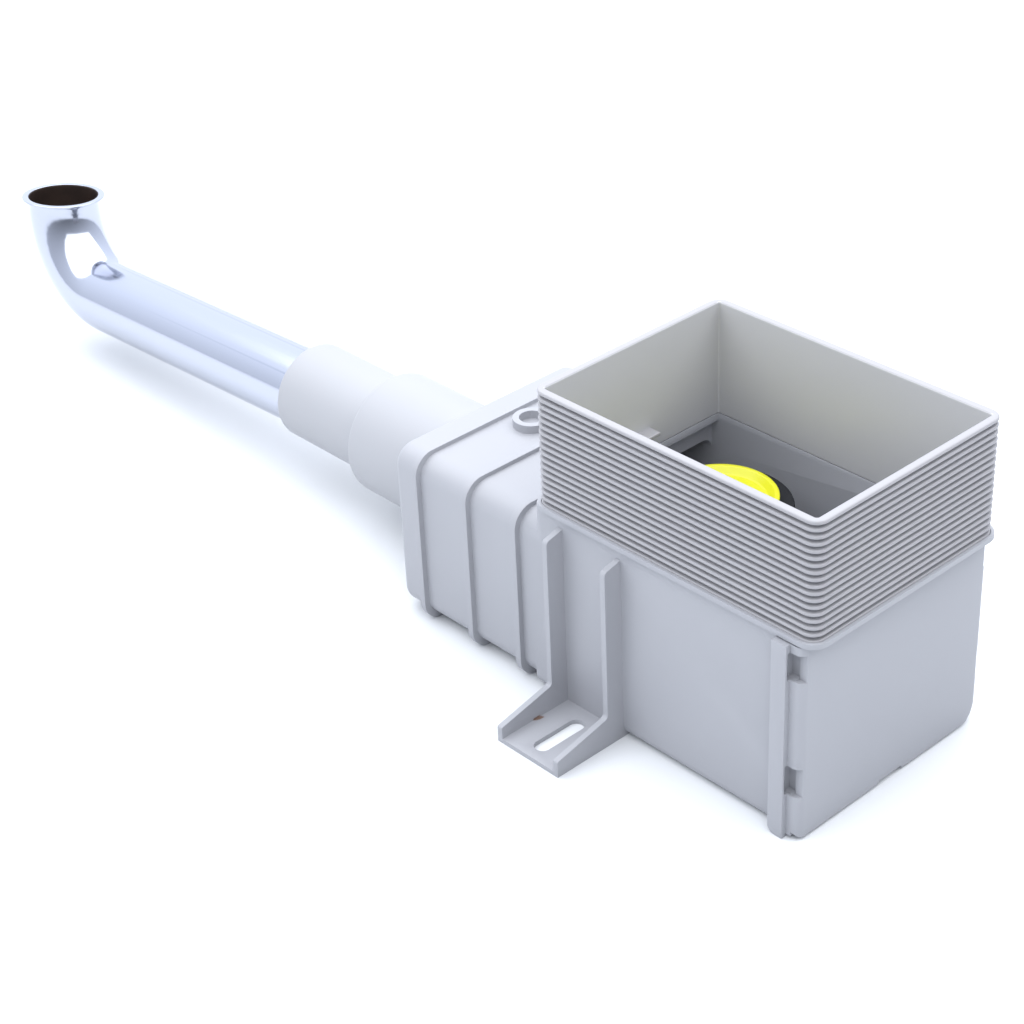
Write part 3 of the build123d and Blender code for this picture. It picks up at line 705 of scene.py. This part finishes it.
# %% Round the far lower corner
CAP_OUTSIDE, CAP_BASE, FAR_CORNER, FAN = 46.4 * MM, 1.2 * MM, 7.25 * MM, 10
SIDE_ROUNDING, SIDE_END = 3.2 * MM, 55.1 * MM
arc_y, arc_z = CAP_OUTSIDE - FAR_CORNER, CAP_BASE + FAR_CORNER
shape = bmesh.new()
shape.from_mesh(end_cap.data)
for cut_number in range(FAN + 1):
    turn_by = pi / 2 * cut_number / FAN
    bmesh.ops.bisect_plane(
        shape, geom=shape.verts[:] + shape.edges[:] + shape.faces[:], dist=WELD_WITHIN,
        plane_co=(0, arc_y, arc_z), plane_no=(0, sin(turn_by), cos(turn_by)),
    )
for vert in shape.verts:
    out, down = vert.co.y - arc_y, arc_z - vert.co.z
    if out > 0 and down > 0:
        past_side = min(max(vert.co.x - SIDE_END, 0), SIDE_ROUNDING)
        side_reach = CAP_OUTSIDE - SIDE_ROUNDING + (SIDE_ROUNDING ** 2 - past_side ** 2) ** 0.5 - arc_y
        share = Vector((out / side_reach, down / FAR_CORNER))
        pull = max(share) / share.length
        vert.co.y, vert.co.z = arc_y + out * pull, arc_z - down * pull
shape.to_mesh(end_cap.data)
shape.free()
end_cap.data.shade_smooth()
end_cap.data.set_sharp_from_angle(angle=CRISP_ABOVE)
print("end cap with its rounder corner:", len(end_cap.data.polygons), "faces")
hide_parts("end_cap")
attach(end_cap, ROOT)


# %% [markdown]
# ## Turned pieces
#
# The spigot, the rubber collar and the yellow plug are round, so each is an outline turned about an axis. An
# outline is a list of points with the distance along the axis, the radius, and how much to round that corner.
# The tube starts in the same way, before it is bent.


# %% Turning helpers
TINY, JUST_OVER_HALVES = 1e-6, 2.01


def rounded_outline(points, steps=5):
    """Corner points (along, radius, rounding) in mm as a finer closed outline."""
    finer = []
    for i, (a, r, rounding) in enumerate(points):
        here = Vector((a, r))
        before = Vector(points[i - 1][:2])
        after = Vector(points[(i + 1) % len(points)][:2])
        if not rounding:
            finer.append(here)
            continue
        into, out = (here - before), (after - here)
        turn_by = into.angle_signed(out)
        wanted_cut = abs(rounding * (1 - cos(turn_by)) / max(abs(sin(turn_by)), TINY))
        cut = min(wanted_cut, into.length / JUST_OVER_HALVES, out.length / JUST_OVER_HALVES)
        start, stop = here - into.normalized() * cut, here + out.normalized() * cut
        for step in range(steps + 1):
            t = step / steps
            finer.append(start * (1 - t) ** 2 + here * 2 * t * (1 - t) + stop * t ** 2)
    return finer


def turned(outline, middle, axis, segments=128):
    """A closed outline turned about an axis through middle, as a mesh; a point at radius 0 becomes a pole."""
    along = Vector(axis).normalized()
    across = along.orthogonal().normalized()
    over = along.cross(across)
    angles = [2 * pi * k / segments for k in range(segments)]
    spokes = [across * cos(angle) + over * sin(angle) for angle in angles]
    shape = bmesh.new()
    rings = []
    for a, r in outline:
        base = Vector(middle) + along * a
        used_spokes = spokes if r > TINY else spokes[:1]
        rings.append([shape.verts.new((base + spoke * r) * MM) for spoke in used_spokes])
    for ring, following in zip(rings, rings[1:] + rings[:1]):
        if len(ring) == 1 and len(following) == 1:
            continue
        for k in range(segments):
            m = (k + 1) % segments
            near = [ring[k % len(ring)], ring[m % len(ring)]]
            far_side = [following[m % len(following)], following[k % len(following)]]
            shape.faces.new(list(dict.fromkeys(near + far_side)))
    mesh = bpy.data.meshes.new("turned")
    shape.to_mesh(mesh)
    shape.free()
    return mesh


print("a square corner rounded by 1 mm:", len(rounded_outline([(0, 0, 0), (0, 9, 1), (9, 9, 0)])), "points")

# %% [markdown]
# ## The stepped spigot
#
# The spigot passes through the end wall with a flange behind it, and steps down from 50 mm to 40 mm so that it
# fits either size of waste pipe. A small bead marks the foot of the thinner step. On the real piece these are
# turned shapes cut in the mould's steel, with soft edges where the plastic doesn't fill a sharp corner.

# %% The stepped spigot
axis_height = 35.1
spigot_outline = rounded_outline([
    (-131.1, 22.9, 0), (-131.1, 28.5, 0.4), (-133.6, 28.5, 0.4), (-133.6, 25.0, 0), (-191.7, 25.0, 3.0),
    (-191.7, 20.7, 0.3), (-192.9, 20.7, 0.45), (-192.9, 20.0, 0.2), (-241.7, 20.0, 1.4), (-241.7, 18.2, 0.5),
    (-189.6, 18.2, 0), (-189.6, 22.9, 0),
])
spigot_mesh = turned(spigot_outline, (0, 0, axis_height), (1, 0, 0))
open_edges = close_and_smooth(spigot_mesh)
spigot = link("stepped_outlet_spigot", spigot_mesh, spigot_plastic)
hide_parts("outlet_spigot")
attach(spigot, ROOT)
print("spigot:", len(spigot_mesh.polygons), "faces,", open_edges, "open edges")

# %% [markdown]
# ## The rubber collar
#
# The collar sits over the inlet's neck like a hat with a hole, and its lip grips the tube that will be pushed
# in. Moulded rubber has no sharp edges, so its corners are rounded by about half a millimetre.

# %% The rubber collar
collar_outline = rounded_outline([
    (67.8, 22.6, 0), (67.8, 25.0, 0.4), (75.4, 25.0, 0.8), (75.4, 16.5, 0.6),
    (70.8, 16.5, 0.4), (70.8, 19.9, 0), (73.9, 19.9, 0), (73.9, 22.6, 0),
])
inlet_middle = (-18.6, 0, 0)
collar_mesh = turned(collar_outline, inlet_middle, (0, 0, 1))
close_and_smooth(collar_mesh)
collar = link("rubber_inlet_collar", collar_mesh, rubber)
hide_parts("inlet_collar")
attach(collar, ROOT)
print("collar:", len(collar_mesh.polygons), "faces")

# %% [markdown]
# ## The yellow plug
#
# The plug is a shallow dish with a skirt that stands in the collar, and its rim gives the fingers something to
# lift. It is a thin moulding, so its outline goes up one side of the wall and down the other. A point at radius
# zero closes each face at the axis.

# %% The yellow plug
plug_outline = rounded_outline([
    (77.0, 0.0, 0), (77.0, 16.1, 1.5), (79.0, 18.3, 0.8), (79.0, 20.1, 0.7), (75.5, 19.3, 0.5),
    (75.5, 16.2, 0.3), (69.5, 16.2, 0.4), (69.5, 15.0, 0.3), (75.8, 15.0, 0.5), (75.8, 0.0, 0),
])
plug_mesh = turned(plug_outline, inlet_middle, (0, 0, 1))
close_and_smooth(plug_mesh)
plug = link("yellow_protective_plug", plug_mesh, yellow_plastic)
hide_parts("protective_cap")
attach(plug, ROOT)
print("plug:", len(plug_mesh.polygons), "faces")

# %% [markdown]
# ## Bending the chromed tube
#
# The real tube is made straight, flared at its end and then bent round a former. It is built the same way: a
# straight tube with its flange is turned first, and a small node tree then bends it. Each point's distance
# along the tube says where it goes: on the run, part of the way round the bend, or out along the tail. The
# sizes come first, in millimetres and radians.

# %% Tube sizes
tube_run = 173.0
tube_start = -18.0
bend_radius = 36.0
bend_angle = radians(90.3)
tube_tail = 3.4
tube_roll = radians(6.7)
tube_pivot = Vector((-215.7, 0, axis_height))
tube_radius = 16.0
tube_bore = 15.3
tube_flange = 18.5
tube_length = tube_run + bend_radius * bend_angle + tube_tail
print("tube length from the spigot's seal:", round(tube_length, 1), "mm")

# %% [markdown]
# ## A straight tube with a flange
#
# The bend needs rings of points close together and the straight run doesn't, so the rings stand 8 mm apart on
# the run and 2 mm apart from just before the bend. The flange's outline closes the tube's end, with a small
# fillet where it was flared out of the wall.

# %% A straight tube with a flange
COARSE_STEP, FINE_STEP, FINE_LEAD, FLANGE_ROOM = 8.0, 2.0, 3.0, 5.5
TUBE_SEGMENTS, TUBE_CRISP_ANGLE = 96, 45.0
outer_line = [(tube_start, tube_radius)]
place_along = tube_start
while place_along < tube_length - FLANGE_ROOM:
    place_along += FINE_STEP if place_along > tube_run - FINE_LEAD else COARSE_STEP
    outer_line.append((place_along, tube_radius))
flange_face = rounded_outline([
    (tube_length - 3.6, tube_radius, 0), (tube_length - 1.0, tube_radius, 1.7),
    (tube_length - 0.9, tube_flange, 0.35), (tube_length, tube_flange, 0.35),
    (tube_length, tube_bore, 0.9), (tube_length - 3.0, tube_bore, 0),
], steps=6)
inner_line = [(a, tube_bore) for a, _ in reversed(outer_line)]
straight_outline = [Vector(p) for p in outer_line] + flange_face + [Vector(p) for p in inner_line]
straight_mesh = turned(straight_outline, (0, 0, 0), (1, 0, 0), TUBE_SEGMENTS)
close_and_smooth(straight_mesh, TUBE_CRISP_ANGLE)
print("straight tube:", len(straight_mesh.polygons), "faces")

# %% [markdown]
# ## The bending tree
#
# Round the bend a point moves on a circle about the bend's middle, and on the tail it goes straight on from
# there. The bent tube is then rolled about its run, tipped down by its droop and hung at the spigot's seal. A
# face nearer the axis than the middle of the wall belongs to the bore and gets the bore's finish.

# %% The bending tree
tree = bpy.data.node_groups.new("tube_bender", "GeometryNodeTree")
bend_values = {
    "Run": tube_run * MM, "Bend Radius": bend_radius * MM, "Bend Angle": bend_angle, "Droop": TUBE_DROOP,
    "Roll": tube_roll, "Wall Middle": (tube_radius + tube_bore) / 2 * MM,
}
tree.interface.new_socket("Geometry", in_out="INPUT", socket_type="NodeSocketGeometry")
for name in bend_values:
    tree.interface.new_socket(name, in_out="INPUT", socket_type="NodeSocketFloat")
tree.interface.new_socket("Pivot", in_out="INPUT", socket_type="NodeSocketVector")
tree.interface.new_socket("Geometry", in_out="OUTPUT", socket_type="NodeSocketGeometry")
given = tree.nodes.new("NodeGroupInput").outputs
where = add(tree, "GeometryNodeInputPosition").outputs[0]
parts = add(tree, "ShaderNodeSeparateXYZ", {0: where}).outputs
past_run = calc("SUBTRACT", parts["X"], given["Run"])
raw_turn = calc("DIVIDE", past_run, given["Bend Radius"])
turned_by = calc("MINIMUM", calc("MAXIMUM", raw_turn, 0), given["Bend Angle"])
on_run = calc("MINIMUM", parts["X"], given["Run"])
bend_length = calc("MULTIPLY", given["Bend Angle"], given["Bend Radius"])
on_tail = calc("MAXIMUM", calc("SUBTRACT", past_run, bend_length), 0)
# The tube's own axis in the plane of the bend, then the point's distance above that axis
lever = calc("SUBTRACT", given["Bend Radius"], parts["Z"])
sine, cosine = calc("SINE", turned_by), calc("COSINE", turned_by)
forward = calc("ADD", on_run, calc("ADD", calc("MULTIPLY", sine, lever), calc("MULTIPLY", cosine, on_tail)))
risen = calc("SUBTRACT", given["Bend Radius"], calc("MULTIPLY", cosine, lever))
upward = calc("ADD", risen, calc("MULTIPLY", sine, on_tail))
backward = calc("MULTIPLY", forward, -1)
bent = add(tree, "ShaderNodeCombineXYZ", {"X": backward, "Y": parts["Y"], "Z": upward})
roll_back, tip_down = calc("MULTIPLY", given["Roll"], -1), calc("MULTIPLY", given["Droop"], -1)
rolled = add(tree, "ShaderNodeVectorRotate", {"Vector": bent.outputs[0], "Angle": roll_back},
             rotation_type="X_AXIS")
swung = add(tree, "ShaderNodeVectorRotate", {"Vector": rolled.outputs[0], "Angle": tip_down},
            rotation_type="Y_AXIS")
hung = add(tree, "ShaderNodeVectorMath", {0: swung.outputs[0], 1: given["Pivot"]}, operation="ADD")
# Before a face moves, its distance from the axis says whether it belongs to the bore
from_axis = add(tree, "ShaderNodeVectorMath", {0: where}, operation="MULTIPLY", in1=(0, 1, 1)).outputs[0]
axis_distance = add(tree, "ShaderNodeVectorMath", {0: from_axis}, operation="LENGTH").outputs["Value"]
kept = add(tree, "GeometryNodeCaptureAttribute", {"Geometry": given["Geometry"]}, domain="FACE")
kept.capture_items.new("FLOAT", "Distance")
tree.links.new(axis_distance, kept.inputs["Distance"])
in_bore = calc("LESS_THAN", kept.outputs["Distance"], given["Wall Middle"])
set_place = add(tree, "GeometryNodeSetPosition",
                {"Geometry": kept.outputs["Geometry"], "Position": hung.outputs[0]})
realized = add(tree, "GeometryNodeRealizeInstances", {0: set_place.outputs[0]})
for name in ("Finish", "Bore Finish"):
    tree.interface.new_socket(name, in_out="INPUT", socket_type="NodeSocketMaterial")
outside = add(tree, "GeometryNodeSetMaterial", {0: realized.outputs[0], "Material": given["Finish"]})
both = add(tree, "GeometryNodeSetMaterial",
           {0: outside.outputs[0], "Selection": in_bore, "Material": given["Bore Finish"]})
tree.links.new(both.outputs[0], tree.nodes.new("NodeGroupOutput").inputs[0])
print("bending tree:", len(tree.nodes), "nodes")

# %% [markdown]
# ## The bent tube
#
# The straight tube goes through the tree and comes back as a plain mesh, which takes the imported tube's place.

# %% Bend the tube
bender_inputs = {**bend_values, "Pivot": tube_pivot * MM, "Finish": chrome, "Bore Finish": tarnish}
tube_mesh = bake("chromed_wall_tube", tree, bender_inputs, straight_mesh)
close_and_smooth(tube_mesh, TUBE_CRISP_ANGLE)
tube = link("chromed_wall_tube", tube_mesh)
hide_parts("wall_tube")
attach(tube, ROOT)
face_finishes = [tube_mesh.materials[face.material_index] for face in tube_mesh.polygons]
bore_faces = face_finishes.count(tarnish)
print("tube:", len(tube_mesh.polygons), "faces, of them in the bore:", bore_faces)

# %% [markdown]
# ## The pieces inside
#
# The pot, the dip tube, the branch tube and the two seals lie deep inside, where the photograph shows little or
# nothing of them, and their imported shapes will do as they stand. They only need their finishes.

# %% Finishes for the inner pieces
inner_finishes = {
    "trap_pot": insert_plastic, "dip_tube": insert_plastic, "branch_tube": insert_plastic,
    "branch_seal": rubber, "tube_seal": rubber,
}
for node, finish in inner_finishes.items():
    nodes[node].data.materials.clear()
    nodes[node].data.materials.append(finish)
print("finished:", ", ".join(inner_finishes))
